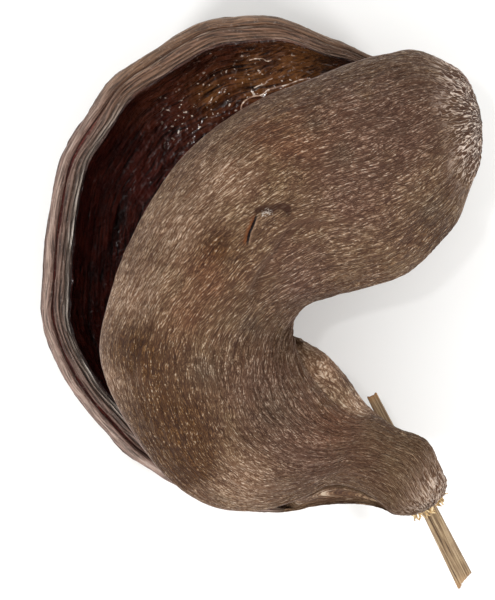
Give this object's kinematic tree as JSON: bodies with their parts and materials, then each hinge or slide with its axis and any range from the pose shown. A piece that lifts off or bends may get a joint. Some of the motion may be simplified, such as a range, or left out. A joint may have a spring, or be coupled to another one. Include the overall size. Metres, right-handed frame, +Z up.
{
  "type": "java olive seed pod",
  "caption": "Dry woody seed pod in a thick C shape, split open along its outer curve, lying on one valve with a scrap of stalk.",
  "frame": {"origin": "on the surface that the pod lies on, under the middle of its plan outline", "axes": "+Z up, +Y from the stalk end towards the back of the C, +X towards the open side of the C"},
  "size_m": [0.0773, 0.1008, 0.049],
  "materials": {
    "pod_wall": "dry, fibrous, brown outside and dark and glossy inside",
    "stalk": "dry straw-coloured wood with lengthwise grooves"
  },
  "bodies": {
    "root": {"pod": "pod_wall", "stalk": "stalk"}
  },
  "joints": []
}
